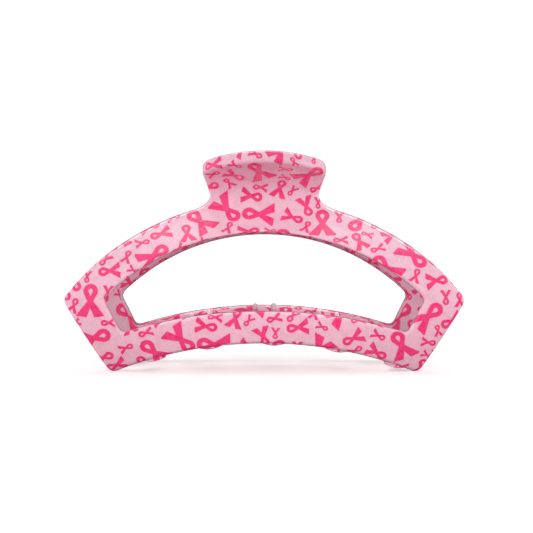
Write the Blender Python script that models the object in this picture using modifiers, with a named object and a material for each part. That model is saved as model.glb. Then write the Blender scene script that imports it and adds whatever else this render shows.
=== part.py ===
"""Open-frame claw hair clip: two equal moulded jaws, a hinge pin and a torsion spring.

Metres, +Z up, +X along the clip, front jaw towards -Y. The clip stands on the lower corners of its jaws,
with the origin on the ground under its middle. All numbers below are millimetres; mesh_object turns them
into metres.
"""

from math import acos, atan, atan2, cos, hypot, pi, radians, sin, sqrt

import bmesh
import bpy
from mathutils import Matrix, Vector

MM = 0.001

# The moulded sheet
WALL = 3.8
EDGE_ROUND = 1.15
BOW = 2.0  # how far the ends of a jaw are drawn in towards the other one

# Front view of one jaw: arcs centred on x = 0
ARCH_OUT_R = 68.5
ARCH_OUT_TOP = 48.5
WINDOW_TOP_R = 62.3
WINDOW_TOP = 38.9
WINDOW_LOW_R = 130.0
WINDOW_LOW = 17.2
BAR_LOW_R = 110.0
BAR_LOW = 8.2
OUT_TOP_CORNER_X = 54.9
OUT_LOW_CORNER_X = 43.1
IN_TOP_CORNER_X = 44.2
IN_LOW_CORNER_X = 39.4
OUT_TOP_CUT = 1.7
OUT_LOW_CUT = 1.4
IN_TOP_CUT = 1.6
IN_LOW_CUT = 1.8

# Thumb tab, seen from the front
NECK_X = 15.5
NECK_Z = 49.7
SHOULDER_X = 19.5
TIP_X = 17.3
TIP_Z = 58.2
TIP_ARC_R = 62.0
TIP_CORNER = 2.0

# Side view of a jaw's outer face, from the ground to the tab's tip: (distance from the middle, height)
PROFILE = (
    (13.2, -2.0), (14.6, 0.0), (17.4, 4.0), (20.1, 9.5), (22.0, 15.5), (22.4, 21.0), (21.4, 26.5),
    (19.0, 31.8), (15.7, 36.8), (12.4, 41.0), (9.7, 45.0), (8.7, 48.6), (9.3, 51.2), (11.3, 53.3),
    (15.4, 55.8), (20.5, 58.2),
)

WAIST = 11  # the entry of PROFILE where the jaw is closest to the middle

# Hinge
AXIS_Z = 48.4
PIN_R = 1.0
BORE_R = 1.1
PIN_HALF = 12.9
EAR_R = 3.5
EAR_WIDTH = 3.4
EAR_LEFT = (9.0, -8.4)  # left faces of the front jaw's two ears; the rear jaw's are turned half a turn
EAR_ROOT_Y = 7.5
EAR_ROOT_RISE = 3.2
HEEL_TOP = (4.7, -1.6)  # distance from the middle and height from the axis
HEEL_LOW = (5.2, -3.6)
EAR_ROUND = 0.45

# Teeth of the front jaw; the rear jaw's are turned half a turn, so the two rows pass between each other
TOOTH_X = (-32.0, -15.9, 2.7, 21.2, 38.0)
TOOTH_WIDTH = (7.3, 1.2)
TOOTH_THICK = (3.1, 1.2)
TOOTH_ROOT_RISE = 1.1
TOOTH_PAST_MIDDLE = 0.5
TOOTH_START = radians(-16)
TOOTH_END = radians(66)

# Torsion spring
WIRE_R = 0.55
COIL_R = 2.2
COIL_PITCH = 1.25
COIL_FULL_TURNS = 6
LEG_KNEE = (6.8, 9.0)  # distance from the middle and height above the axis
LEG_TIP = (12.4, 11.3)
LEG_TIP_OUT = 1.6

# Mesh density
NECK_COLUMNS = 5
FILLET_COLUMNS = 4
ARCH_COLUMNS = 8
CORNER_COLUMNS = 3
SIDE_COLUMNS = 3
BAR_COLUMNS = 11
RING_ROWS = 4
TAB_ROWS = 6
EDGE_SEGMENTS = 2
MERGE = 0.00001


def clear_scene():
    for obj in list(bpy.data.objects):
        bpy.data.objects.remove(obj, do_unlink=True)


def collection(name):
    made = bpy.data.collections.new(name)
    bpy.context.scene.collection.children.link(made)
    return made


def material(name, colour, roughness, metallic):
    made = bpy.data.materials.new(name)
    made.use_nodes = True
    shader = made.node_tree.nodes["Principled BSDF"]
    shader.inputs["Base Color"].default_value = (*colour, 1.0)
    shader.inputs["Roughness"].default_value = roughness
    shader.inputs["Metallic"].default_value = metallic
    return made


def mesh_object(name, bm, where):
    """Turns a bmesh in millimetres, measured from the axis, into an object with its origin on the axis."""
    bmesh.ops.scale(bm, vec=(MM, MM, MM), verts=bm.verts)
    bmesh.ops.remove_doubles(bm, verts=bm.verts, dist=MERGE)
    mesh = bpy.data.meshes.new(name)
    bm.to_mesh(mesh)
    bm.free()
    obj = bpy.data.objects.new(name, mesh)
    obj.location.z = AXIS_Z * MM
    where.objects.link(obj)
    return obj


def as_cutter(obj):
    obj.hide_render = True
    obj.display_type = "WIRE"


def boolean(obj, tool, operation):
    modifier = obj.modifiers.new(operation.lower(), "BOOLEAN")
    modifier.object = tool
    modifier.operation = operation
    modifier.solver = "EXACT"


# ---------------------------------------------------------------- outlines in the front view

def on_arc(radius, top, x):
    return Vector((x, top - radius + sqrt(radius * radius - x * x)))


def bezier(a, b, c, t):
    return a.lerp(b, t).lerp(b.lerp(c, t), t)


def steps(count):
    return [i / count for i in range(count)]


def rounded_corner(before, corner, after, count):
    return [bezier(before, corner, after, t) for t in steps(count)]


def short_of(radius, x, distance):
    """The x of the point on an arc that lies a distance along it before x."""
    return x - distance * sqrt(1 - (x / radius) ** 2)


def arch_side_bar(arch, low, start_x, top, bottom):
    """Half an outline, from start_x on its upper arc, down its side, to the middle of its lower arc.

    arch and low are (radius, top of the arc). top and bottom are (x of the corner, length rounded off).
    """
    (top_x, top_cut), (low_x, low_cut) = top, bottom
    end_x = short_of(arch[0], top_x, top_cut)
    low_start_x = short_of(low[0], low_x, low_cut)
    upper, lower = on_arc(*arch, top_x), on_arc(*low, low_x)
    down = (lower - upper).normalized()
    side_top, side_low = upper + down * top_cut, lower - down * low_cut
    points = [on_arc(*arch, start_x + (end_x - start_x) * t) for t in steps(ARCH_COLUMNS)]
    points += rounded_corner(on_arc(*arch, end_x), upper, side_top, CORNER_COLUMNS)
    points += [side_top.lerp(side_low, t) for t in steps(SIDE_COLUMNS)]
    points += rounded_corner(side_low, lower, on_arc(*low, low_start_x), CORNER_COLUMNS)
    points += [on_arc(*low, low_start_x * (1 - t)) for t in steps(BAR_COLUMNS)]
    return points + [on_arc(*low, 0.0)]


def outer_outline():
    """Right half of the jaw without its tab: neck line, shoulder, arch, side and bar."""
    arch = (ARCH_OUT_R, ARCH_OUT_TOP)
    neck = Vector((NECK_X, NECK_Z))
    elbow = Vector((NECK_X + 0.2, on_arc(*arch, NECK_X).y + 0.5))
    points = [Vector((NECK_X * t, NECK_Z)) for t in steps(NECK_COLUMNS)]
    points += rounded_corner(neck, elbow, on_arc(*arch, SHOULDER_X), FILLET_COLUMNS)
    top, bottom = (OUT_TOP_CORNER_X, OUT_TOP_CUT), (OUT_LOW_CORNER_X, OUT_LOW_CUT)
    return points + arch_side_bar(arch, (BAR_LOW_R, BAR_LOW), SHOULDER_X, top, bottom)


def inner_outline():
    """Right half of the window, with a point for each point of the outer outline."""
    arch = (WINDOW_TOP_R, WINDOW_TOP)
    under_shoulder = SHOULDER_X * 0.86
    points = [on_arc(*arch, under_shoulder * t) for t in steps(NECK_COLUMNS + FILLET_COLUMNS)]
    top, bottom = (IN_TOP_CORNER_X, IN_TOP_CUT), (IN_LOW_CORNER_X, IN_LOW_CUT)
    return points + arch_side_bar(arch, (WINDOW_LOW_R, WINDOW_LOW), under_shoulder, top, bottom)


# ---------------------------------------------------------------- the bent sheet

def profile_y(z):
    """Distance of the outer face from the middle plane at a height, a smooth curve through PROFILE."""
    points = PROFILE
    k = 1
    while k < len(points) - 2 and points[k + 1][1] < z:
        k += 1

    def slope(i):
        lo, hi = max(i - 1, 0), min(i + 1, len(points) - 1)
        return (points[hi][0] - points[lo][0]) / (points[hi][1] - points[lo][1])

    (y0, z0), (y1, z1) = points[k], points[k + 1]
    h = z1 - z0
    t = (z - z0) / h
    return (
        (2 * t**3 - 3 * t**2 + 1) * y0 + (t**3 - 2 * t**2 + t) * h * slope(k)
        + (3 * t**2 - 2 * t**3) * y1 + (t**3 - t**2) * h * slope(k + 1)
    )


def through_wall(z):
    """From the outer face to the inner one: level below the waist, square to the sheet above it."""
    step = 0.01
    slope = atan((profile_y(z + step) - profile_y(z - step)) / (2 * step))
    if z < PROFILE[WAIST][1]:
        return Vector((0, WALL / cos(slope), 0))
    return Vector((0, WALL * cos(slope), WALL * sin(slope)))


def bow(x):
    return BOW * (x / OUT_TOP_CORNER_X) ** 2


def on_front_face(x, z):
    """A point of the front jaw's outer face, measured from the hinge axis."""
    return Vector((x, bow(x) - profile_y(z), z - AXIS_Z))


def tab_side(v):
    """The tab's right edge in the front view, from v = 0 at the neck to 1 at the corner's middle."""
    corner = on_arc(TIP_ARC_R, TIP_Z, TIP_X)
    neck, before = Vector((NECK_X, NECK_Z)), Vector((TIP_X, corner.y - TIP_CORNER * 0.6))
    after = on_arc(TIP_ARC_R, TIP_Z, TIP_X - TIP_CORNER)
    straight = 0.75
    if v < straight:
        return bezier(neck, Vector((NECK_X + 0.7, NECK_Z + 2.2)), before, v / straight)
    return bezier(before, corner, after, 0.5 * (v - straight) / (1 - straight))


def tab_top(u):
    """The tab's tip edge in the front view, from u = 0 at x = 0 to 1 at the rounded corner's middle."""
    corner = on_arc(TIP_ARC_R, TIP_Z, TIP_X)
    before = Vector((TIP_X, corner.y - TIP_CORNER * 0.6))
    after = on_arc(TIP_ARC_R, TIP_Z, TIP_X - TIP_CORNER)
    straight = (NECK_COLUMNS - 1) / NECK_COLUMNS
    if u <= straight:
        return on_arc(TIP_ARC_R, TIP_Z, after.x * u / straight)
    return bezier(after, corner, before, 0.5 * (u - straight) / (1 - straight))


def tab_point(u, v):
    """A point of the tab's outer face in the front view, blended from its side, tip and neck lines."""
    side, top, corner = tab_side(v), tab_top(u), tab_side(1.0)
    middle = Vector((0, NECK_Z + (TIP_Z - NECK_Z) * v))
    neck = Vector((NECK_X * u, NECK_Z))
    across = middle.lerp(side, u)
    along = neck.lerp(top, v)
    flat = neck.lerp(Vector((0, TIP_Z)).lerp(corner, u), v)
    return across + along - flat


def sheet():
    """The outer face of the front jaw as one open surface of quads."""
    bm = bmesh.new()
    outer, inner = outer_outline(), inner_outline()
    for side in (1, -1):
        rows = []
        for out_point, in_point in zip(outer, inner):
            line = [in_point.lerp(out_point, i / RING_ROWS) for i in range(RING_ROWS + 1)]
            rows.append([bm.verts.new(on_front_face(side * p.x, p.y)) for p in line])
        tab = []
        for column in range(NECK_COLUMNS + 1):
            u = column / NECK_COLUMNS
            line = [tab_point(u, (i + 1) / TAB_ROWS) for i in range(TAB_ROWS)]
            line = [Vector((outer[column].x, outer[column].y))] + line
            tab.append([bm.verts.new(on_front_face(side * p.x, p.y)) for p in line])
        for grid in (rows, tab):
            for a, b in zip(grid, grid[1:]):
                for k in range(len(a) - 1):
                    corners = (a[k], b[k], b[k + 1], a[k + 1])
                    bm.faces.new(corners if side > 0 else corners[::-1])
    bmesh.ops.remove_doubles(bm, verts=bm.verts, dist=0.01)
    return bm


def jaw_frame():
    """The front jaw without teeth and ears: the sheet given its wall, with its rims marked for rounding."""
    bm = sheet()
    rim = bm.edges.layers.float.new("bevel_weight_edge")
    for edge in bm.edges:
        edge[rim] = float(edge.is_boundary)
    grown = bmesh.ops.extrude_face_region(bm, geom=bm.faces[:], use_keep_orig=True)["geom"]
    inner = [g for g in grown if isinstance(g, bmesh.types.BMVert)]
    for vert in inner:
        vert.co += through_wall(vert.co.z + AXIS_Z)
    bmesh.ops.recalc_face_normals(bm, faces=bm.faces)
    inside = set(inner)
    for edge in bm.edges:
        if len(edge.link_faces) == 2 and all(v in inside for v in edge.verts):
            edge[rim] = float(any(not all(v in inside for v in f.verts) for f in edge.link_faces))
    return bm


# ---------------------------------------------------------------- teeth and ears

def loft(bm, rings):
    """A closed body through rings of points, with a fan at each end."""
    made = [[bm.verts.new(p) for p in ring] for ring in rings]
    for a, b in zip(made, made[1:]):
        for k in range(len(a)):
            n = (k + 1) % len(a)
            bm.faces.new((a[k], a[n], b[n], b[k]))
    bm.faces.new(made[0][::-1])
    bm.faces.new(made[-1])


def tooth_rings(x):
    """Cross-sections of the curled tooth whose root is at x on the front jaw's lower bar."""
    sections, around = 8, 12
    low = on_arc(BAR_LOW_R, BAR_LOW, x).y
    start_z = low + TOOTH_ROOT_RISE
    start_y = bow(x) - profile_y(start_z) + WALL / 2
    radius = (TOOTH_PAST_MIDDLE - start_y) / (sin(TOOTH_END) - sin(TOOTH_START))
    rings = []
    for i in range(sections + 1):
        t = i / sections
        angle = TOOTH_START + (TOOTH_END - TOOTH_START) * t
        along = Vector((0, cos(angle), sin(angle)))
        across = Vector((0, -sin(angle), cos(angle)))
        centre = Vector((
            x,
            start_y + radius * (sin(angle) - sin(TOOTH_START)),
            start_z + radius * (cos(TOOTH_START) - cos(angle)) - AXIS_Z,
        ))
        taper = (1 - t) ** 1.25
        half_width = (TOOTH_WIDTH[1] + (TOOTH_WIDTH[0] - TOOTH_WIDTH[1]) * taper) / 2
        half_thick = (TOOTH_THICK[1] + (TOOTH_THICK[0] - TOOTH_THICK[1]) * taper) / 2
        rings.append([
            centre
            + Vector((1, 0, 0)) * half_width * cos(2 * pi * k / around)
            + across * half_thick * sin(2 * pi * k / around)
            for k in range(around)
        ])
        if i == sections:
            tip = [centre + (p - centre) * 0.55 + along * half_thick * 0.7 for p in rings[-1]]
            rings.append(tip)
    return rings


def ear_outline():
    """Side view of the front jaw's ear: an arc round the pin, and a heel that stops the other jaw."""
    points = [Vector((-EAR_ROOT_Y, EAR_ROOT_RISE))]
    for degrees in range(120, -31, -15):
        angle = radians(degrees)
        points.append(Vector((EAR_R * cos(angle), EAR_R * sin(angle))))
    points += [Vector(HEEL_TOP), Vector(HEEL_LOW), Vector((3.4, -4.3)), Vector((0.0, -4.5))]
    points.append(Vector((-EAR_ROOT_Y, -4.6)))
    return points


def add_ear(bm, left):
    outline = ear_outline()
    face = bm.faces.new([bm.verts.new((left, p.x, p.y)) for p in outline])
    grown = bmesh.ops.extrude_face_region(bm, geom=[face])["geom"]
    moved = [g for g in grown if isinstance(g, bmesh.types.BMVert)]
    bmesh.ops.translate(bm, verts=moved, vec=(EAR_WIDTH, 0, 0))


def details():
    """The teeth and the ears, as closed bodies that are joined to the sheet."""
    bm = bmesh.new()
    for left in EAR_LEFT:
        add_ear(bm, left)
    rims = [e for e in bm.edges if e.is_manifold and e.calc_face_angle(0) > radians(40)]
    bmesh.ops.bevel(bm, geom=rims, offset=EAR_ROUND, segments=1, affect="EDGES", profile=0.5)
    for x in TOOTH_X:
        loft(bm, tooth_rings(x))
    bmesh.ops.recalc_face_normals(bm, faces=bm.faces)
    return bm


def cylinder_along_x(bm, radius, length, segments):
    made = bmesh.ops.create_cone(bm, cap_ends=True, segments=segments, radius1=radius, radius2=radius,
                                 depth=length)["verts"]
    bmesh.ops.rotate(bm, verts=made, cent=(0, 0, 0), matrix=Matrix.Rotation(pi / 2, 3, "Y"))


def bore_tool():
    bm = bmesh.new()
    cylinder_along_x(bm, BORE_R, 2 * PIN_HALF + 4, 20)
    return bm


def ground_tool():
    """A block below the ground, which leaves each lower corner a small flat land to stand on."""
    bm = bmesh.new()
    bmesh.ops.create_cube(bm, size=1.0)
    bmesh.ops.scale(bm, vec=(140, 80, 10), verts=bm.verts)
    bmesh.ops.translate(bm, verts=bm.verts, vec=(0, 0, -AXIS_Z - 5))
    return bm


def make_jaw(name, turn, parts, cutters, finish):
    jaw = mesh_object(name, jaw_frame(), parts)
    jaw.rotation_euler.z = turn
    tools = {}
    for kind, made in (("details", details()), ("bore", bore_tool()), ("ground", ground_tool())):
        tool = mesh_object(f"{name}_{kind}", made, cutters)
        tool.rotation_euler.z = turn
        as_cutter(tool)
        tools[kind] = tool
    rounded = jaw.modifiers.new("rounded_edges", "BEVEL")
    rounded.width = EDGE_ROUND * MM
    rounded.segments = EDGE_SEGMENTS
    rounded.limit_method = "WEIGHT"
    rounded.use_clamp_overlap = False
    boolean(jaw, tools["details"], "UNION")
    boolean(jaw, tools["bore"], "DIFFERENCE")
    boolean(jaw, tools["ground"], "DIFFERENCE")
    jaw.data.materials.append(finish)
    return jaw


# ---------------------------------------------------------------- hinge pin and spring

def make_pin(parts, finish):
    bm = bmesh.new()
    cylinder_along_x(bm, PIN_R, 2 * PIN_HALF, 20)
    ends = [e for e in bm.edges if e.is_manifold and e.calc_face_angle(0) > radians(60)]
    bmesh.ops.bevel(bm, geom=ends, offset=0.3, segments=2, affect="EDGES", profile=0.5)
    pin = mesh_object("hinge_pin", bm, parts)
    pin.data.materials.append(finish)
    pin.data.shade_smooth()
    pin.data.set_sharp_from_angle(angle=radians(40))
    return pin


def spring_points():
    """The wire's centreline: up the front tab, round the pin, and up the rear tab."""
    knee, tip = Vector(LEG_KNEE), Vector(LEG_TIP)
    leave = atan2(knee.y, knee.x) - acos(COIL_R / hypot(*knee))
    sweep = 2 * pi * COIL_FULL_TURNS + pi + 2 * leave
    start = pi - leave
    turns = sweep / (2 * pi)
    half = COIL_PITCH * turns / 2
    count = round(turns * 14)
    coil = []
    for i in range(count + 1):
        t = i / count
        angle = start + sweep * t
        coil.append(Vector((-half + 2 * half * t, COIL_R * cos(angle), COIL_R * sin(angle))))
    leg = [bezier(coil[-1].yz.lerp(knee, 0.75), knee, knee.lerp(tip, 0.3), t / 4) for t in range(5)] + [tip]
    rear = [Vector((half + LEG_TIP_OUT * (k + 1) / len(leg), p.x, p.y)) for k, p in enumerate(leg)]
    front = [Vector((-p.x, -p.y, p.z)) for p in rear]
    return front[::-1] + coil + rear


def make_spring(parts, finish):
    points = spring_points()
    curve = bpy.data.curves.new("torsion_spring_wire", "CURVE")
    curve.dimensions = "3D"
    curve.bevel_depth = WIRE_R * MM
    curve.bevel_resolution = 2
    curve.use_fill_caps = True
    line = curve.splines.new("POLY")
    line.points.add(len(points) - 1)
    for point, at in zip(line.points, points):
        point.co = (at.x * MM, at.y * MM, at.z * MM, 1.0)
    spring = bpy.data.objects.new("torsion_spring", curve)
    spring.location.z = AXIS_Z * MM
    parts.objects.link(spring)
    curve.materials.append(finish)
    return spring


def main():
    clear_scene()
    parts = collection("open_claw_hair_clip")
    cutters = collection("cutters")
    plastic = material("printed_plastic", (0.80, 0.42, 0.52), 0.12, 0.0)
    rear_plastic = material("printed_plastic_rear", (0.72, 0.34, 0.45), 0.12, 0.0)
    steel = material("plated_steel", (0.72, 0.72, 0.74), 0.25, 1.0)
    wire = material("spring_steel", (0.62, 0.62, 0.64), 0.3, 1.0)
    make_jaw("front_jaw", 0.0, parts, cutters, plastic)
    make_jaw("rear_jaw", pi, parts, cutters, rear_plastic)
    make_pin(parts, steel)
    make_spring(parts, wire)


main()
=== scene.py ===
"""Looks of the open-frame claw hair clip: two glossy printed jaws, a steel hinge pin and a steel spring.

The jaws are rebuilt from the CAD's own formulas with a finer mesh and softer teeth, and stand for the CAD
jaws. Lengths in the shape functions are millimetres, measured as in the CAD: +Z up, front jaw towards -Y.
The lights, the floor and the camera are in metres.
"""

import random
from math import acos, atan, atan2, cos, hypot, pi, radians, sin, sqrt

import bmesh
import bpy
import numpy as np
from mathutils import Matrix, Vector


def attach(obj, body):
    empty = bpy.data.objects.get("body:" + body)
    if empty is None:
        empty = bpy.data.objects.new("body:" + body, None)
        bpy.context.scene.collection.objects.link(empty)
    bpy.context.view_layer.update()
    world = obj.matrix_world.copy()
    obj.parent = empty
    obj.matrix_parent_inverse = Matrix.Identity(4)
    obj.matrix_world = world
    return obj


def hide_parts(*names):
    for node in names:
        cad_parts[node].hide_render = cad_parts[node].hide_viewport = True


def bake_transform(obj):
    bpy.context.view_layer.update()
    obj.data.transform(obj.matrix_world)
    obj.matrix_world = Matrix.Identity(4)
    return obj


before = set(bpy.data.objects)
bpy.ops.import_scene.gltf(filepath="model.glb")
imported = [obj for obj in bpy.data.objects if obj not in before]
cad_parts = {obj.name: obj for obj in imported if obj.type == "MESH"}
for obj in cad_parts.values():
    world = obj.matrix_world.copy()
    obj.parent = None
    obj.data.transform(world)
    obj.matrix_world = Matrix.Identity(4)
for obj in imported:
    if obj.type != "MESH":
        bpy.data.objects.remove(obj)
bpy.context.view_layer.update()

MM = 0.001

# ---------------------------------------------------------------- the CAD's dimensions

WALL = 3.8
EDGE_ROUND = 0.95
BOW = 2.0
ARCH_OUT_R = 68.5
ARCH_OUT_TOP = 48.5
WINDOW_TOP_R = 62.3
WINDOW_TOP = 38.9
WINDOW_LOW_R = 130.0
WINDOW_LOW = 17.2
BAR_LOW_R = 110.0
BAR_LOW = 8.2
OUT_TOP_CORNER = (55.4, 1.9)  # x of the corner, length that is rounded off
OUT_LOW_CORNER = (43.1, 2.2)
IN_TOP_CORNER = (44.2, 1.6)
IN_LOW_CORNER = (39.4, 1.8)
NECK_X = 15.5
NECK_Z = 49.7
NECK_ELBOW = (0.2, 0.5)  # the neck fillet's control point: right of the neck, and above the arch
SHOULDER_X = 19.5
UNDER_SHOULDER_SHARE = 0.86  # the window's point that faces the shoulder, as a share of SHOULDER_X
TAB_SIDE_BEND = (0.7, 2.2)  # from the neck to the control point of the tab's side
TIP_X = 17.3
TIP_Z = 58.2
TIP_ARC_R = 62.0
TIP_CORNER = 2.0
TIP_CORNER_DROP = 1.2
PROFILE = (
    (13.2, -2.0), (14.6, 0.0), (17.4, 4.0), (20.1, 9.5), (22.0, 15.5), (22.4, 21.0), (21.4, 26.5),
    (19.0, 31.8), (15.7, 36.8), (12.4, 41.0), (9.7, 45.0), (8.7, 48.6), (9.3, 51.2), (11.3, 53.3),
    (15.4, 55.8), (20.5, 58.2),
)
WAIST_Z = 48.6

AXIS_Z = 48.4
BORE_R = 1.1
PIN_HALF = 12.9
EAR_R = 3.5
EAR_WIDTH = 3.4
EAR_LEFT = (9.0, -8.4)
EAR_ROOT_Y = 7.5
EAR_ROOT_RISE = 3.2
HEEL_TOP = (4.7, -1.6)
HEEL_LOW = (5.2, -3.6)
EAR_BOTTOM = ((3.4, -4.3), (0.0, -4.5), (-EAR_ROOT_Y, -4.6))
EAR_ROUND = 0.5

TOOTH_X = (-32.0, -15.9, 2.7, 21.2, 38.0)
TOOTH_WIDTH = (7.3, 1.3)
TOOTH_THICK = (3.1, 1.3)
TOOTH_ROOT_RISE = 1.1
TOOTH_PAST_MIDDLE = 0.5
TOOTH_START = radians(-16)
TOOTH_END = radians(66)
TOOTH_TAPER = 1.25
TOOTH_FLARE = (2.0, 0.22)  # extra width at the root, and the share of the tooth that it fades over
TEETH_BELOW = -22.0  # height under the hinge axis that only the teeth and the lower bar reach
TIP_FADE = 5.0  # distance before the middle plane at which a tooth starts to turn pale

WIRE_R = 0.55
COIL_R = 2.2
COIL_PITCH = 1.25
COIL_FULL_TURNS = 6
LEG_KNEE = (6.8, 9.0)
LEG_TIP = (12.4, 11.3)
LEG_TIP_OUT = 1.6

# ---------------------------------------------------------------- mesh density

RIM_STEP = 1.5  # width of the row next to a rim, which the rounding eats into
NECK_COLUMNS = 12
FILLET_COLUMNS = 8
ARCH_COLUMNS = 32
CORNER_COLUMNS = 7
SIDE_COLUMNS = 14
BAR_COLUMNS = 38
RING_ROWS = 8
TAB_ROWS = 12
LAST_TAB_ROW = 0.9  # share of the tab's height below the row that is next to the rim
TOOTH_SECTIONS = 26
TOOTH_AROUND = 28
TOOTH_DOME = 6
TURN_POINTS = 32
WIRE_AROUND = 16
WIRE_DOME = 4
PRINT_RANGE = (-1.9, 60.5)  # heights between which the way up the sheet is measured
PRINT_STEPS = 1200
GROUND_BLOCK = (140, 80, 10)
SHARP = radians(38)
EAR_SHARP = radians(40)


# ---------------------------------------------------------------- outlines in the front view

def on_arc(radius, top, x):
    return Vector((x, top - radius + sqrt(radius * radius - x * x)))


def bezier(a, b, c, t):
    return a.lerp(b, t).lerp(b.lerp(c, t), t)


def steps(count):
    return [i / count for i in range(count)]


def rounded_corner(before, corner, after, count):
    return [bezier(before, corner, after, t) for t in steps(count)]


def short_of(radius, x, distance):
    """The x of the point on an arc that lies a distance along it before x."""
    return x - distance * sqrt(1 - (x / radius) ** 2)


def rows_between_rims(width, rows):
    """Shares of a width from 0 to 1, with a row of RIM_STEP at both ends."""
    edge = RIM_STEP / width
    return [0.0] + [edge + (1 - 2 * edge) * i / rows for i in range(rows + 1)] + [1.0]


def neck_shares():
    edge = RIM_STEP / NECK_X
    return [(1 - edge) * i / (NECK_COLUMNS - 1) for i in range(NECK_COLUMNS)]


def arch_side_bar(arch, low, start_x, top, bottom):
    """Half an outline, from start_x on its upper arc, down its side, to the middle of its lower arc."""
    (top_x, top_cut), (low_x, low_cut) = top, bottom
    end_x = short_of(arch[0], top_x, top_cut)
    low_start_x = short_of(low[0], low_x, low_cut)
    upper, lower = on_arc(*arch, top_x), on_arc(*low, low_x)
    down = (lower - upper).normalized()
    side_top, side_low = upper + down * top_cut, lower - down * low_cut
    points = [on_arc(*arch, start_x + (end_x - start_x) * t) for t in steps(ARCH_COLUMNS)]
    points += rounded_corner(on_arc(*arch, end_x), upper, side_top, CORNER_COLUMNS)
    points += [side_top.lerp(side_low, t) for t in steps(SIDE_COLUMNS)]
    points += rounded_corner(side_low, lower, on_arc(*low, low_start_x), CORNER_COLUMNS)
    points += [on_arc(*low, low_start_x * (1 - t)) for t in steps(BAR_COLUMNS)]
    return points + [on_arc(*low, 0.0)]


def outer_outline():
    """Right half of the jaw without its tab: neck line, shoulder, arch, side and bar."""
    arch = (ARCH_OUT_R, ARCH_OUT_TOP)
    neck = Vector((NECK_X, NECK_Z))
    elbow = Vector((NECK_X + NECK_ELBOW[0], on_arc(*arch, NECK_X).y + NECK_ELBOW[1]))
    points = [Vector((NECK_X * t, NECK_Z)) for t in neck_shares()]
    points += rounded_corner(neck, elbow, on_arc(*arch, SHOULDER_X), FILLET_COLUMNS)
    low = (BAR_LOW_R, BAR_LOW)
    return points + arch_side_bar(arch, low, SHOULDER_X, OUT_TOP_CORNER, OUT_LOW_CORNER)


def inner_outline():
    """Right half of the window, with a point for each point of the outer outline."""
    arch = (WINDOW_TOP_R, WINDOW_TOP)
    low = (WINDOW_LOW_R, WINDOW_LOW)
    under_shoulder = SHOULDER_X * UNDER_SHOULDER_SHARE
    under_neck = under_shoulder * NECK_COLUMNS / (NECK_COLUMNS + FILLET_COLUMNS)
    points = [on_arc(*arch, under_neck * t / neck_shares()[-1]) for t in neck_shares()]
    rest = [under_neck + (under_shoulder - under_neck) * (i + 1) / (FILLET_COLUMNS + 1)
            for i in range(FILLET_COLUMNS)]
    points += [on_arc(*arch, x) for x in rest]
    return points + arch_side_bar(arch, low, under_shoulder, IN_TOP_CORNER, IN_LOW_CORNER)


# ---------------------------------------------------------------- the bent sheet

def profile_y(z):
    """Distance of the outer face from the middle plane at a height, a smooth curve through PROFILE."""
    points = PROFILE
    k = 1
    while k < len(points) - 2 and points[k + 1][1] < z:
        k += 1

    def slope(i):
        lo, hi = max(i - 1, 0), min(i + 1, len(points) - 1)
        return (points[hi][0] - points[lo][0]) / (points[hi][1] - points[lo][1])

    (y0, z0), (y1, z1) = points[k], points[k + 1]
    h = z1 - z0
    t = (z - z0) / h
    return (
        (2 * t**3 - 3 * t**2 + 1) * y0 + (t**3 - 2 * t**2 + t) * h * slope(k)
        + (3 * t**2 - 2 * t**3) * y1 + (t**3 - t**2) * h * slope(k + 1)
    )


def through_wall(z):
    """From the outer face to the inner one: level below the waist, and square to the tab above it."""
    step = 0.01
    slope = atan((profile_y(z + step) - profile_y(z - step)) / (2 * step))
    if z < WAIST_Z:
        return Vector((0, WALL / cos(slope), 0))
    return Vector((0, WALL * cos(slope), WALL * sin(slope)))


def bow(x):
    return BOW * (x / OUT_TOP_CORNER[0]) ** 2


def on_front_face(x, z):
    """A point of the front jaw's outer face, measured from the hinge axis."""
    return Vector((x, bow(x) - profile_y(z), z - AXIS_Z))


def tip_corner():
    """Before, at and after the tab's right corner in the front view."""
    corner = on_arc(TIP_ARC_R, TIP_Z, TIP_X)
    before = Vector((TIP_X, corner.y - TIP_CORNER_DROP))
    return before, corner, on_arc(TIP_ARC_R, TIP_Z, TIP_X - TIP_CORNER)


def tab_side(v):
    """The tab's right edge in the front view, v from 0 at the neck to 1 halfway round the rounded corner."""
    neck = Vector((NECK_X, NECK_Z))
    before, corner, after = tip_corner()
    straight = 0.75
    if v < straight:
        return bezier(neck, neck + Vector(TAB_SIDE_BEND), before, v / straight)
    return bezier(before, corner, after, 0.5 * (v - straight) / (1 - straight))


def tab_top(u):
    """The tab's tip edge in the front view, u from 0 at the middle to 1 halfway round the rounded corner."""
    before, corner, after = tip_corner()
    straight = 0.82
    if u <= straight:
        return on_arc(TIP_ARC_R, TIP_Z, after.x * u / straight)
    return bezier(after, corner, before, 0.5 * (u - straight) / (1 - straight))


def tab_point(u, v):
    """A point of the tab's outer face in the front view, blended from its side, tip and neck lines."""
    side, top, corner = tab_side(v), tab_top(u), tab_side(1.0)
    middle = Vector((0, NECK_Z + (TIP_Z - NECK_Z) * v))
    neck = Vector((NECK_X * u, NECK_Z))
    across = middle.lerp(side, u)
    along = neck.lerp(top, v)
    flat = neck.lerp(Vector((0, TIP_Z)).lerp(corner, u), v)
    return across + along - flat


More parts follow.
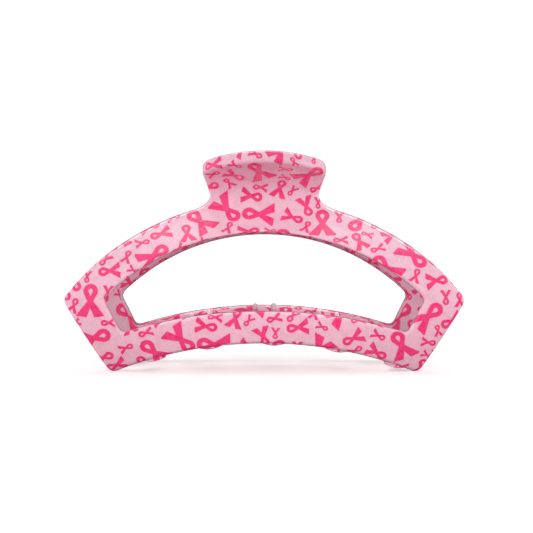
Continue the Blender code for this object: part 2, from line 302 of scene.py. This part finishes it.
def sheet():
    """The outer face of the front jaw as one open surface of quads."""
    bm = bmesh.new()
    outer, inner = outer_outline(), inner_outline()
    tab_us = neck_shares() + [1.0]
    tab_vs = [LAST_TAB_ROW * (i + 1) / (TAB_ROWS - 1) for i in range(TAB_ROWS - 1)] + [1.0]
    for side in (1, -1):
        rows = []
        for out_point, in_point in zip(outer, inner):
            shares = rows_between_rims((out_point - in_point).length, RING_ROWS)
            line = [in_point.lerp(out_point, t) for t in shares]
            rows.append([bm.verts.new(on_front_face(side * p.x, p.y)) for p in line])
        tab = []
        for column, u in enumerate(tab_us):
            line = [Vector((outer[column].x, outer[column].y))] + [tab_point(u, v) for v in tab_vs]
            tab.append([bm.verts.new(on_front_face(side * p.x, p.y)) for p in line])
        for grid in (rows, tab):
            for a, b in zip(grid, grid[1:]):
                for k in range(len(a) - 1):
                    corners = (a[k], b[k], b[k + 1], a[k + 1])
                    bm.faces.new(corners if side > 0 else corners[::-1])
    bmesh.ops.remove_doubles(bm, verts=bm.verts, dist=0.01)
    return bm


def jaw_frame():
    """The front jaw without teeth and ears: the sheet with its wall, and its rims marked for rounding."""
    bm = sheet()
    rim = bm.edges.layers.float.new("bevel_weight_edge")
    for edge in bm.edges:
        edge[rim] = float(edge.is_boundary)
    grown = bmesh.ops.extrude_face_region(bm, geom=bm.faces[:], use_keep_orig=True)["geom"]
    inner = [g for g in grown if isinstance(g, bmesh.types.BMVert)]
    for vert in inner:
        vert.co += through_wall(vert.co.z + AXIS_Z)
    bmesh.ops.recalc_face_normals(bm, faces=bm.faces)
    inside = set(inner)
    for edge in bm.edges:
        if len(edge.link_faces) == 2 and all(v in inside for v in edge.verts):
            edge[rim] = float(any(not all(v in inside for v in f.verts) for f in edge.link_faces))
    return bm


# ---------------------------------------------------------------- teeth and ears

def loft(bm, rings):
    """A closed body through rings of points."""
    made = [[bm.verts.new(p) for p in ring] for ring in rings]
    for a, b in zip(made, made[1:]):
        for k in range(len(a)):
            n = (k + 1) % len(a)
            bm.faces.new((a[k], a[n], b[n], b[k]))
    bm.faces.new(made[0][::-1])
    bm.faces.new(made[-1])


def tooth_rings(x):
    """Cross-sections of the curled tooth whose root is at x on the front jaw's lower bar."""
    low = on_arc(BAR_LOW_R, BAR_LOW, x).y
    start_z = low + TOOTH_ROOT_RISE
    start_y = bow(x) - profile_y(start_z) + WALL / 2
    radius = (TOOTH_PAST_MIDDLE - start_y) / (sin(TOOTH_END) - sin(TOOTH_START))
    rings = []
    for i in range(TOOTH_SECTIONS + TOOTH_DOME):
        t = min(i / TOOTH_SECTIONS, 1.0)
        angle = TOOTH_START + (TOOTH_END - TOOTH_START) * t
        along = Vector((0, cos(angle), sin(angle)))
        across = Vector((0, -sin(angle), cos(angle)))
        centre = Vector((
            x,
            start_y + radius * (sin(angle) - sin(TOOTH_START)),
            start_z + radius * (cos(TOOTH_START) - cos(angle)) - AXIS_Z,
        ))
        taper = (1 - t) ** TOOTH_TAPER
        flare = TOOTH_FLARE[0] * max(0.0, 1 - t / TOOTH_FLARE[1]) ** 2
        half_width = (TOOTH_WIDTH[1] + (TOOTH_WIDTH[0] - TOOTH_WIDTH[1]) * taper + flare) / 2
        half_thick = (TOOTH_THICK[1] + (TOOTH_THICK[0] - TOOTH_THICK[1]) * taper) / 2
        over = max(0, i - TOOTH_SECTIONS) / TOOTH_DOME * pi / 2
        centre += along * half_thick * sin(over)
        rings.append([
            centre
            + Vector((1, 0, 0)) * half_width * cos(over) * cos(2 * pi * k / TOOTH_AROUND)
            + across * half_thick * cos(over) * sin(2 * pi * k / TOOTH_AROUND)
            for k in range(TOOTH_AROUND)
        ])
    return rings


def ear_outline():
    """Side view of the front jaw's ear: an arc round the pin, and a heel that stops the jaws when shut."""
    points = [Vector((-EAR_ROOT_Y, EAR_ROOT_RISE))]
    for degrees in range(120, -31, -10):
        angle = radians(degrees)
        points.append(Vector((EAR_R * cos(angle), EAR_R * sin(angle))))
    return points + [Vector(p) for p in (HEEL_TOP, HEEL_LOW, *EAR_BOTTOM)]


def add_ear(bm, left):
    face = bm.faces.new([bm.verts.new((left, p.x, p.y)) for p in ear_outline()])
    grown = bmesh.ops.extrude_face_region(bm, geom=[face])["geom"]
    moved = [g for g in grown if isinstance(g, bmesh.types.BMVert)]
    bmesh.ops.translate(bm, verts=moved, vec=(EAR_WIDTH, 0, 0))


def details():
    """The teeth and the ears, as closed bodies that are joined to the sheet."""
    bm = bmesh.new()
    for left in EAR_LEFT:
        add_ear(bm, left)
    rims = [e for e in bm.edges if e.is_manifold and e.calc_face_angle(0) > EAR_SHARP]
    bmesh.ops.bevel(bm, geom=rims, offset=EAR_ROUND, segments=4, affect="EDGES", profile=0.5)
    for x in TOOTH_X:
        loft(bm, tooth_rings(x))
    bmesh.ops.recalc_face_normals(bm, faces=bm.faces)
    return bm


def bore_tool():
    """A rod along the hinge axis, longer than the pin."""
    bm = bmesh.new()
    made = bmesh.ops.create_cone(bm, cap_ends=True, segments=48, radius1=BORE_R, radius2=BORE_R,
                                 depth=2 * PIN_HALF + 4)["verts"]
    bmesh.ops.rotate(bm, verts=made, cent=(0, 0, 0), matrix=Matrix.Rotation(pi / 2, 3, "Y"))
    return bm


def ground_tool():
    """A block below the ground, which leaves each lower corner a small flat land to stand on."""
    bm = bmesh.new()
    bmesh.ops.create_cube(bm, size=1.0)
    bmesh.ops.scale(bm, vec=GROUND_BLOCK, verts=bm.verts)
    bmesh.ops.translate(bm, verts=bm.verts, vec=(0, 0, -AXIS_Z - GROUND_BLOCK[2] / 2))
    return bm


def new_object(name, data):
    made = bpy.data.objects.new(name, data)
    bpy.context.scene.collection.objects.link(made)
    return made


def object_from(name, bm):
    """Turns a bmesh in millimetres, measured from the hinge axis, into an object in place."""
    bmesh.ops.scale(bm, vec=(MM, MM, MM), verts=bm.verts)
    mesh = bpy.data.meshes.new(name)
    bm.to_mesh(mesh)
    bm.free()
    made = new_object(name, mesh)
    made.location.z = AXIS_Z * MM
    return made


def add_boolean(obj, tool, operation):
    modifier = obj.modifiers.new(operation.lower(), "BOOLEAN")
    modifier.object = tool
    modifier.operation = operation
    modifier.solver = "EXACT"


def print_coordinates(points, normals):
    """Where points of the front jaw lie on the flat print, as (x, way up the sheet) in millimetres.

    The points are measured from the hinge axis. The print runs on round the rims, so a point of a rim lies
    as far outside the outline as it is deep in the wall.
    """
    heights = np.linspace(*PRINT_RANGE, PRINT_STEPS)
    outward = np.array([profile_y(z) for z in heights])
    way = np.concatenate([[0.0], np.cumsum(np.hypot(np.diff(heights), np.diff(outward)))])
    x = points[:, 0]
    height = points[:, 2] + AXIS_Z
    distance = bow(x) - points[:, 1]
    level = np.interp(height, heights, np.arange(len(heights)))
    tab = np.flatnonzero(heights > WAIST_Z)
    gap = np.hypot(distance[:, None] - outward[None, tab], height[:, None] - heights[None, tab])
    row = np.where(height < WAIST_Z, level, tab[np.argmin(gap, axis=1)])
    nearest = np.rint(row).astype(int)
    depth = np.clip(np.hypot(distance - outward[nearest], height - heights[nearest]), 0, WALL)
    rise = np.gradient(heights, way)[nearest]
    run = np.gradient(outward, way)[nearest]
    up = normals[:, 2] * rise - normals[:, 1] * run
    along = np.interp(row, np.arange(len(heights)), way)
    return np.stack([x + depth * normals[:, 0], along + depth * up], axis=1)


def make_jaw(name, turn, offset):
    """A whole jaw, turned about the vertical, with its print shifted by an offset."""
    jaw = object_from(name, jaw_frame())
    tool_meshes = (details(), bore_tool(), ground_tool())
    tools = [object_from(f"{name}_tool_{i}", made) for i, made in enumerate(tool_meshes)]
    rounded = jaw.modifiers.new("rounded_edges", "BEVEL")
    rounded.width = EDGE_ROUND * MM
    rounded.segments = 6
    rounded.limit_method = "WEIGHT"
    rounded.use_clamp_overlap = False
    for tool, operation in zip(tools, ("UNION", "DIFFERENCE", "DIFFERENCE")):
        add_boolean(jaw, tool, operation)
    made = bpy.data.meshes.new_from_object(jaw.evaluated_get(bpy.context.evaluated_depsgraph_get()))
    jaw.modifiers.clear()
    jaw.data = made
    for tool in tools:
        bpy.data.objects.remove(tool)
    bm = bmesh.new()
    bm.from_mesh(made)
    bmesh.ops.remove_doubles(bm, verts=bm.verts, dist=2e-6)
    bmesh.ops.dissolve_degenerate(bm, edges=bm.edges, dist=1e-6)
    bm.to_mesh(made)
    bm.free()
    points = np.zeros(len(made.vertices) * 3)
    made.vertices.foreach_get("co", points)
    points = points.reshape(-1, 3) / MM
    normals = np.zeros(len(made.vertices) * 3)
    made.vertices.foreach_get("normal", normals)
    place = print_coordinates(points, normals.reshape(-1, 3)) + np.array(offset)
    corner = np.zeros(len(made.loops), int)
    made.loops.foreach_get("vertex_index", corner)
    layer = made.uv_layers.new(name="print")
    layer.data.foreach_set("uv", (place[corner] / PRINT_UNIT).ravel())
    pale = made.attributes.new("tooth_tip", "FLOAT", "POINT")
    inward = np.clip((TIP_FADE + points[:, 1]) / TIP_FADE, 0, 1) * (points[:, 2] < TEETH_BELOW)
    pale.data.foreach_set("value", inward.astype(np.float32))
    made.shade_smooth()
    made.set_sharp_from_angle(angle=SHARP)
    jaw.rotation_euler.z = turn
    jaw.modifiers.new("even_shading", "WEIGHTED_NORMAL").keep_sharp = True
    return jaw


# ---------------------------------------------------------------- spring

def spring_points():
    """The wire's centreline: up the front tab, round the pin, and up the rear tab."""
    knee, tip = Vector(LEG_KNEE), Vector(LEG_TIP)
    leave = atan2(knee.y, knee.x) - acos(COIL_R / hypot(*knee))
    sweep = 2 * pi * COIL_FULL_TURNS + pi + 2 * leave
    turns = sweep / (2 * pi)
    half = COIL_PITCH * turns / 2
    count = round(turns * TURN_POINTS)
    coil = []
    for i in range(count + 1):
        t = i / count
        angle = pi - leave + sweep * t
        coil.append(Vector((-half + 2 * half * t, COIL_R * cos(angle), COIL_R * sin(angle))))
    start = coil[-1].yz
    before = start.lerp(knee, 0.72)
    leg = [start.lerp(before, (k + 1) / 6) for k in range(6)]
    leg += [bezier(before, knee, knee.lerp(tip, 0.4), (k + 1) / 10) for k in range(10)]
    leg += [leg[-1].lerp(tip, (k + 1) / 4) for k in range(4)]
    rear = [Vector((half + LEG_TIP_OUT * (k + 1) / len(leg), p.x, p.y)) for k, p in enumerate(leg)]
    front = [Vector((-p.x, -p.y, p.z)) for p in rear]
    return front[::-1] + coil + rear


def make_spring():
    """A round wire swept along spring_points, with domed ends."""
    points = spring_points()
    bm = bmesh.new()
    ahead = (points[1] - points[0]).normalized()
    side = ahead.orthogonal().normalized()
    rings = []
    last = len(points) - 1
    turn = 2 * pi / WIRE_AROUND
    for i, point in enumerate(points):
        ahead = (points[min(i + 1, last)] - points[max(i - 1, 0)]).normalized()
        side = (side - ahead * side.dot(ahead)).normalized()
        up = ahead.cross(side)
        ends = [(0.0, 1.0)]
        if i in (0, last):
            ends = [(WIRE_R * sin(a), cos(a)) for a in (pi / 2 * k / WIRE_DOME for k in range(WIRE_DOME))]
        ends = [(-out, r) for out, r in ends[::-1]] if i == 0 else ends
        for out, share in ends:
            rings.append([
                point + ahead * out
                + (side * cos(turn * k) + up * sin(turn * k)) * WIRE_R * share
                for k in range(WIRE_AROUND)
            ])
    loft(bm, rings)
    bmesh.ops.recalc_face_normals(bm, faces=bm.faces)
    spring = object_from("spring", bm)
    spring.data.shade_smooth()
    return spring


# ---------------------------------------------------------------- the print

PRINT_UNIT = 100.0  # millimetres to one unit of the print's UV map
TILE = (54.0, 42.0)  # the print repeats over this many millimetres
TILE_TURN = radians(17)
REAR_PRINT = (23.0, 31.0)  # how far the rear jaw's print is shifted, so that the jaws differ
# for each size of motif: its length, how many are wanted, and half a tail's width at its end
MOTIFS = ((9.0, 12, 0.155), (6.0, 16, 0.140), (4.1, 26, 0.118), (3.4, 40, 0.115))
LOOP_HALF = 0.080  # half the width of the loop's band; motif shapes are in shares of the motif's length
CROSSING = -0.03
LOOP_MIDDLE = 0.29
LOOP_R = 0.145
TAIL_END_X = 0.275
TAIL_LONG = 0.47
TAIL_LENGTH = hypot(TAIL_END_X, TAIL_LONG)
TAIL_SLANT = 0.45  # how far a tail's end is cut off square
INK_EDGE = 0.018  # half the width over which the ink fades at its edge
REACH = (0.42, 0.60)  # half axes of the oval that picks the nearest motif
GAP = 0.08  # least clearance between motifs, with GAP_SHARE of the motif's length on top
GAP_SHARE = 0.01
TRIES = 14000
SEED = 20
FIELD_CELL = 0.25
NEAR_SHARE = 0.62  # motifs closer than this share of their two lengths are compared point by point


def motif_points(tail_half):
    """Points along a motif's outline, which keep motifs apart."""
    tail = Vector((TAIL_END_X, -TAIL_LONG))
    ahead = tail.normalized()
    beside = Vector((-ahead.y, ahead.x))
    half = []
    for t in (0.15, 0.35, 0.55, 0.75, 1.0):
        width = LOOP_HALF + (tail_half - LOOP_HALF) * t
        half += [tail * t + beside * width * s for s in (-1, 0, 1)]
    loop = [Vector((0, LOOP_MIDDLE - CROSSING)) + Vector((sin(a), cos(a))) * (LOOP_R + LOOP_HALF)
            for a in (pi * k / 7 for k in range(8))]
    both = half + loop
    both += [Vector((-p.x, p.y)) for p in both]
    return np.array([(p.x, p.y + CROSSING) for p in both])


def wrapped(gap):
    tile = np.array(TILE)
    return gap - tile * np.round(gap / tile)


def pick_value(points, motif):
    """How far points are from a motif's middle in its own oval. Each point belongs to the lowest."""
    (x, y), turn, length, tail_half = motif
    gap = wrapped(points - np.array((x, y)))
    along = gap @ np.array((cos(turn), sin(turn))) / (length * REACH[0])
    up = gap @ np.array((-sin(turn), cos(turn))) / (length * REACH[1])
    return np.sqrt(along**2 + up**2 + tail_half**2)


def field_around(shape, grid):
    """Distance from each point of the grid to the nearest of a motif's points, in the repeating print."""
    gap = wrapped(grid[:, :, None] - shape[None, None])
    return np.hypot(gap[..., 0], gap[..., 1]).min(axis=2)


def takes_from(other, points, motif):
    """Whether any of a motif's points would go to another motif."""
    return (pick_value(points, motif) > pick_value(points, other)).any()


def lay_out():
    """A dense scatter of motifs that keep clear of each other, in one tile of the print."""
    rng = random.Random(SEED)
    rows, columns = (round(side / FIELD_CELL) for side in TILE[::-1])
    grid = np.stack(np.meshgrid(np.arange(columns) * FIELD_CELL, np.arange(rows) * FIELD_CELL), axis=2)
    field = np.full((rows, columns), max(TILE))
    placed, shapes = [], []
    for length, wanted, tail_half in MOTIFS:
        found = 0
        own = motif_points(tail_half) * length
        clearance = GAP + GAP_SHARE * length
        for _ in range(TRIES):
            if found == wanted:
                break
            turn = rng.uniform(0, 2 * pi)
            at = np.array((rng.uniform(0, TILE[0]), rng.uniform(0, TILE[1])))
            turned = own @ np.array(((cos(turn), sin(turn)), (-sin(turn), cos(turn)))) + at
            place = np.round(turned / FIELD_CELL).astype(int)
            if field[place[:, 1] % rows, place[:, 0] % columns].min() < clearance:
                continue
            motif = (tuple(at), turn, length, tail_half)
            near = [k for k, other in enumerate(placed)
                    if np.hypot(*wrapped(at - np.array(other[0]))) < NEAR_SHARE * (length + other[2])]
            if any(takes_from(placed[k], turned, motif) or takes_from(motif, shapes[k], placed[k])
                   for k in near):
                continue
            placed.append(motif)
            shapes.append(turned)
            field = np.minimum(field, field_around(turned, grid))
            found += 1
    return placed


class Tree:
    """Short ways to add nodes to a material."""

    def __init__(self, name):
        self.material = bpy.data.materials.new(name)
        self.material.use_nodes = True
        self.nodes = self.material.node_tree.nodes
        self.links = self.material.node_tree.links
        self.shader = self.nodes["Principled BSDF"]

    def set(self, socket, value):
        if isinstance(value, bpy.types.NodeSocket):
            self.links.new(value, socket)
        else:
            socket.default_value = value

    def add(self, kind, inputs=(), out=0, **settings):
        node = self.nodes.new(kind)
        for key, value in settings.items():
            setattr(node, key, value)
        for key, value in dict(inputs).items():
            self.set(node.inputs[key], value)
        return node.outputs[out]

    def math(self, operation, *values):
        return self.add("ShaderNodeMath", enumerate(values), operation=operation)

    def vector(self, operation, *values, out=0):
        return self.add("ShaderNodeVectorMath", enumerate(values), out=out, operation=operation)

    def mix(self, share, a, b):
        return self.add("ShaderNodeMix", {0: share, 6: a, 7: b}, out=2, data_type="RGBA")

    def smooth(self, value, low, high, to_low=0.0, to_high=1.0):
        inputs = {0: value, 1: low, 2: high, 3: to_low, 4: to_high}
        return self.add("ShaderNodeMapRange", inputs, interpolation_type="SMOOTHSTEP")

    def noise(self, vector, scale, detail=2.0, roughness=0.5):
        inputs = {"Vector": vector, "Scale": scale, "Detail": detail, "Roughness": roughness}
        return self.add("ShaderNodeTexNoise", inputs)

    def bump(self, height, distance, strength=1.0):
        inputs = {"Height": height, "Distance": distance, "Strength": strength}
        self.set(self.shader.inputs["Normal"], self.add("ShaderNodeBump", inputs))


def strip_shape(tree, x, y, lean, length, half_start, half_end):
    """Way across, way along and distance outside a straight band that leans away from the crossing."""
    along = tree.math("MULTIPLY_ADD", x, sin(lean), tree.math("MULTIPLY", y, cos(lean)))
    across = tree.math("MULTIPLY_ADD", x, cos(lean), tree.math("MULTIPLY", y, -sin(lean)))
    grow = tree.math("MULTIPLY", along, 1 / length)
    half = tree.math("MULTIPLY_ADD", tree.math("SUBTRACT", half_end, half_start), grow, half_start)
    return across, along, tree.math("SUBTRACT", tree.math("ABSOLUTE", across), half)


def ink(tree, place):
    """1 on a motif and 0 beside it, for a place on the print in millimetres."""
    best, nearest = None, None
    for (x, y), turn, length, tail_half in lay_out():
        high = (x + TILE[0] / 2, y + TILE[1] / 2, 0.0)
        low = (x - TILE[0] / 2, y - TILE[1] / 2, 0.0)
        image = tree.vector("WRAP", place, high, low)
        local = tree.add("ShaderNodeMapping", {
            "Vector": image, "Location": (x, y, -tail_half), "Rotation": (0, 0, turn),
            "Scale": (length * REACH[0], length * REACH[1], 1.0)}, vector_type="TEXTURE")
        far = tree.vector("LENGTH", local, out=1)
        if best is None:
            best, nearest = far, local
            continue
        closer = tree.math("LESS_THAN", far, best)
        nearest = tree.add("ShaderNodeMix", {0: closer, 4: nearest, 5: local}, out=1, data_type="VECTOR")
        best = tree.math("MINIMUM", best, far)
    split = tree.nodes.new("ShaderNodeSeparateXYZ")
    tree.set(split.inputs[0], nearest)
    x = tree.math("MULTIPLY", tree.math("ABSOLUTE", split.outputs[0]), REACH[0])
    y = tree.math("MULTIPLY_ADD", split.outputs[1], REACH[1], -CROSSING)
    lean = pi - atan2(TAIL_END_X, TAIL_LONG)
    across, along, tail = strip_shape(tree, x, y, lean, TAIL_LENGTH, LOOP_HALF, split.outputs[2])
    cut = tree.math("SUBTRACT", tree.math("MULTIPLY_ADD", across, TAIL_SLANT, along), TAIL_LENGTH)
    tail = tree.math("MAXIMUM", tail, tree.math("MAXIMUM", cut, tree.math("MULTIPLY", along, -1.0)))
    rise = LOOP_MIDDLE - CROSSING
    touch = sqrt(rise**2 - LOOP_R**2)
    lean = atan2(LOOP_R, touch)
    _, along, strand = strip_shape(tree, x, y, lean, touch, LOOP_HALF, LOOP_HALF)
    from_middle = tree.vector("LENGTH", tree.add("ShaderNodeCombineXYZ", {
        0: x, 1: tree.math("SUBTRACT", y, rise)}), out=1)
    off_ring = tree.math("ABSOLUTE", tree.math("SUBTRACT", from_middle, LOOP_R))
    ring = tree.math("SUBTRACT", off_ring, LOOP_HALF)
    round_top = tree.math("GREATER_THAN", along, touch)
    loop = tree.add("ShaderNodeMix", {0: round_top, 2: strand, 3: ring}, data_type="FLOAT")
    loop = tree.math("MAXIMUM", loop, tree.math("MULTIPLY", along, -1.0))
    return tree.smooth(tree.math("MINIMUM", tail, loop), -INK_EDGE, INK_EDGE, 1.0, 0.0)


# ---------------------------------------------------------------- materials

PALE_INK = ((0.82, 0.490, 0.597, 1.0), (0.88, 0.560, 0.668, 1.0))  # darker and lighter end of the mottling
HOT_INK = ((0.86, 0.046, 0.200, 1.0), (0.90, 0.068, 0.240, 1.0))
TOOTH_TIP = (0.93, 0.76, 0.82, 1.0)
TIP_COVER = 0.8
CLOUD_SHARE = 0.35
WOBBLE = 0.16  # how far, in millimetres, the print's edges stray
SCATTER_RADIUS = (1.0, 0.40, 0.48)
SCATTER_SCALE = 0.0016
PIN_STEEL = (0.72, 0.71, 0.70)
WIRE_STEEL = (0.60, 0.59, 0.58)
STAIN_SHADE = 0.78


def grey(value):
    return (value, value, value, 1.0)


def printed_plastic():
    """Pale pink plastic with a printed scatter of looped bands under a clear polished coat."""
    tree = Tree("printed_plastic")
    flat = tree.add("ShaderNodeUVMap", uv_map="print")
    place = tree.vector("SCALE", flat)
    place.node.inputs["Scale"].default_value = PRINT_UNIT
    wobble = tree.add("ShaderNodeTexNoise", {"Vector": place, "Scale": 1.6, "Detail": 1.0}, out=1)
    drift = tree.vector("MULTIPLY_ADD", wobble, (WOBBLE, WOBBLE, 0.0), (-WOBBLE / 2, -WOBBLE / 2, 0.0))
    strayed = tree.vector("ADD", place, drift)
    turned = tree.add("ShaderNodeVectorRotate", {"Vector": strayed, "Angle": TILE_TURN},
                      rotation_type="Z_AXIS")
    inked = ink(tree, turned)
    solid = tree.add("ShaderNodeTexCoord", out=3)
    cloud = tree.noise(solid, 260.0, 4.0, 0.65)
    fine = tree.noise(solid, 2300.0, 2.0, 0.6)
    blended = tree.math("MULTIPLY_ADD", cloud, CLOUD_SHARE, tree.math("MULTIPLY", fine, 1 - CLOUD_SHARE))
    mottle = tree.smooth(blended, 0.36, 0.64)
    pale = tree.mix(mottle, *PALE_INK)
    hot = tree.mix(mottle, *HOT_INK)
    tip = tree.add("ShaderNodeAttribute", out=2, attribute_name="tooth_tip", attribute_type="GEOMETRY")
    worn = tree.smooth(tree.math("MULTIPLY_ADD", tree.math("SUBTRACT", cloud, 0.5), 0.5, tip), 0.1, 0.75)
    printed = tree.mix(inked, pale, hot)
    colour = tree.mix(tree.math("MULTIPLY", worn, TIP_COVER), printed, TOOTH_TIP)
    shader = tree.shader.inputs
    tree.set(shader["Base Color"], colour)
    tree.set(shader["Roughness"], tree.smooth(cloud, 0.3, 0.7, 0.24, 0.34))
    shader["IOR"].default_value = 1.49
    shader["Coat Weight"].default_value = 1.0
    shader["Coat Roughness"].default_value = 0.05
    shader["Coat IOR"].default_value = 1.5
    shader["Subsurface Weight"].default_value = 0.35
    shader["Subsurface Radius"].default_value = SCATTER_RADIUS
    shader["Subsurface Scale"].default_value = SCATTER_SCALE
    ripple = tree.noise(solid, 420.0, 2.0)
    tree.bump(tree.math("MULTIPLY_ADD", fine, 0.12, ripple), 0.000012)
    return tree.material


def steel(name, colour, roughness, along_scale, around_scale):
    """Drawn steel: fine lines round the pin or along the wire, with a little staining."""
    tree = Tree(name)
    solid = tree.add("ShaderNodeTexCoord", out=3)
    scale = (along_scale, around_scale, around_scale)
    stretched = tree.add("ShaderNodeMapping", {"Vector": solid, "Scale": scale})
    lines = tree.noise(stretched, 1.0, 3.0, 0.6)
    stain = tree.noise(solid, 350.0, 3.0, 0.6)
    dark = tuple(c * STAIN_SHADE for c in colour) + (1.0,)
    stained = tree.mix(tree.smooth(stain, 0.35, 0.7), colour + (1.0,), dark)
    tree.set(tree.shader.inputs["Base Color"], stained)
    tree.set(tree.shader.inputs["Roughness"], tree.smooth(lines, 0.3, 0.7, roughness, roughness + 0.16))
    tree.shader.inputs["Metallic"].default_value = 1.0
    tree.bump(lines, 0.00001)
    return tree.material


# ---------------------------------------------------------------- the pieces

plastic = printed_plastic()
halves = (("front_shell", "front", 0.0, (0.0, 0.0)), ("rear_shell", "rear", pi, REAR_PRINT))
for name, body, turn, offset in halves:
    shell = make_jaw(name, turn, offset)
    shell.data.materials.clear()
    shell.data.materials.append(plastic)
    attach(shell, body)
    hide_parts(f"{body}_jaw")

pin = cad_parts["hinge_pin"]
pin.data.materials.clear()
pin.data.materials.append(steel("plated_pin", PIN_STEEL, 0.16, 4200.0, 500.0))

spring = make_spring()
spring.data.materials.append(steel("drawn_wire", WIRE_STEEL, 0.22, 900.0, 2600.0))
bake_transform(spring)
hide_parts("torsion_spring")


# ---------------------------------------------------------------- camera, floor and lights, in metres

FLOOR_HALF = 4.0
FLOOR_GLOW = (0.46, 0.88)  # camera rays only: near the clip, where its shadows show, and far off
FLOOR_GLOW_REACH = (0.2, 1.0)
FLOOR_BOUNCE = (0.30, 0.11, 0.15, 1.0)  # what the clip sees of the floor
SEEN_WHITE = 1.02
AROUND_FRONT = 0.24
AROUND_BACK = 0.20
MIDDLE = (0.0, 0.0, 0.03)  # where the softboxes point
SUN_HEADING = (0.10, 0.70, -0.71)
SNOOT_AT = (0.0, -1.62, 0.03)
SNOOT_AIM = (0.0, -0.02, -0.018)
SNOOT_RADIUS = 0.088  # of the patch of light at SNOOT_REACH
SNOOT_REACH = 1.6


def face_along(obj, heading):
    """Turns a light so that it shines along a heading."""
    obj.rotation_euler = Vector(heading).to_track_quat("-Z", "Y").to_euler()


def make_camera():
    camera = new_object("camera", bpy.data.cameras.new("camera"))
    camera.location = (0.0, -0.3224, 0.0320)
    camera.rotation_euler = (pi / 2, 0, 0)
    camera.data.sensor_width = 36.0
    camera.data.lens = 74.5
    camera.data.shift_x = 0.0041
    camera.data.shift_y = -0.0178
    camera.data.clip_start = 0.01
    return camera


def floor_material():
    """White to the camera, with a glow that hides the horizon, and dim pink to everything else."""
    look = Tree("studio_floor")
    solid = look.add("ShaderNodeTexCoord", out=3)
    seen = look.mix(look.noise(solid, 40.0, 4.0), grey(0.93), grey(0.95))
    by_camera = look.add("ShaderNodeLightPath", out=0)
    look.set(look.shader.inputs["Base Color"], look.mix(by_camera, FLOOR_BOUNCE, seen))
    glow = look.smooth(look.vector("LENGTH", solid, out=1), *FLOOR_GLOW_REACH, *FLOOR_GLOW)
    look.shader.inputs["Emission Color"].default_value = grey(1.0)
    look.set(look.shader.inputs["Emission Strength"], look.math("MULTIPLY", by_camera, glow))
    look.shader.inputs["Roughness"].default_value = 1.0
    look.shader.inputs["Specular IOR Level"].default_value = 0.0
    return look.material


def make_floor():
    mesh = bpy.data.meshes.new("floor")
    corners = [(x * FLOOR_HALF, y * FLOOR_HALF, 0) for x, y in ((-1, -1), (1, -1), (1, 1), (-1, 1))]
    mesh.from_pydata(corners, [], [(0, 1, 2, 3)])
    mesh.materials.append(floor_material())
    return new_object("floor", mesh)


def make_world():
    """White to the camera, and dim to everything else."""
    world = bpy.data.worlds.new("studio")
    world.use_nodes = True
    nodes, links = world.node_tree.nodes, world.node_tree.links
    background = nodes["Background"]
    background.inputs["Color"].default_value = grey(1.0)
    rays = nodes.new("ShaderNodeLightPath")
    where = nodes.new("ShaderNodeTexCoord")
    split = nodes.new("ShaderNodeSeparateXYZ")
    around = nodes.new("ShaderNodeMapRange")
    around.inputs["From Min"].default_value = -0.7
    around.inputs["From Max"].default_value = 0.8
    around.inputs["To Min"].default_value = AROUND_FRONT
    around.inputs["To Max"].default_value = AROUND_BACK
    strength = nodes.new("ShaderNodeMix")
    strength.inputs["B"].default_value = SEEN_WHITE
    links.new(where.outputs["Generated"], split.inputs[0])
    links.new(split.outputs["Y"], around.inputs["Value"])
    links.new(rays.outputs["Is Camera Ray"], strength.inputs["Factor"])
    links.new(around.outputs["Result"], strength.inputs["A"])
    links.new(strength.outputs["Result"], background.inputs["Strength"])
    return world


def softbox(name, at, size, power, glossy=True, diffuse=True):
    """A rectangular light; glossy=False keeps it out of reflections, and diffuse=False leaves only them."""
    light = bpy.data.lights.new(name, "AREA")
    light.shape = "RECTANGLE"
    light.size, light.size_y = size
    light.energy = power
    box = new_object(name, light)
    box.location = at
    box.visible_glossy = glossy
    box.visible_diffuse = diffuse
    face_along(box, Vector(MIDDLE) - Vector(at))


def make_sun():
    """A broad light from above the camera, which shades the underside of the tab."""
    light = bpy.data.lights.new("broad_key", "SUN")
    light.energy = 0.30
    light.angle = radians(38)
    sun = new_object("broad_key", light)
    sun.visible_glossy = False
    face_along(sun, SUN_HEADING)


def make_snoot():
    """A soft-edged spot on the arch and the bar, which leaves the tab darker."""
    light = bpy.data.lights.new("snoot", "SPOT")
    light.energy = 38.0
    light.spot_size = 2 * atan(SNOOT_RADIUS / SNOOT_REACH)
    light.spot_blend = 0.6
    light.shadow_soft_size = 0.05
    snoot = new_object("low_key", light)
    snoot.location = SNOOT_AT
    snoot.visible_glossy = False
    face_along(snoot, Vector(SNOOT_AIM) - Vector(SNOOT_AT))


bpy.context.scene.camera = make_camera()
floor = make_floor()
bpy.context.scene.world = make_world()
make_sun()
make_snoot()
softbox("front_key", at=(0.0, -1.6, 0.055), size=(0.9, 0.11), power=1.5, glossy=False)
softbox("overhead", at=(0.0, 0.06, 0.8), size=(0.5, 0.35), power=1.1, glossy=False)
for side_name, side in (("left", -1), ("right", 1)):
    softbox(f"{side_name}_box", at=(side * 0.56, -0.30, 0.12), size=(0.30, 0.24), power=0.4)
    softbox(f"{side_name}_fill", at=(side * 0.90, -0.33, 0.05), size=(0.12, 0.12), power=6.6, glossy=False)
softbox("back_fill", at=(0.0, 1.1, 0.45), size=(0.9, 0.5), power=4.5, glossy=False)
softbox("sheen", at=(0.0, -0.14, 0.75), size=(1.2, 0.4), power=0.7, diffuse=False)
softbox("rim_strip", at=(0.0, 0.05, 0.70), size=(0.8, 0.16), power=3.6, diffuse=False)

bpy.context.scene.view_settings.view_transform = "Standard"
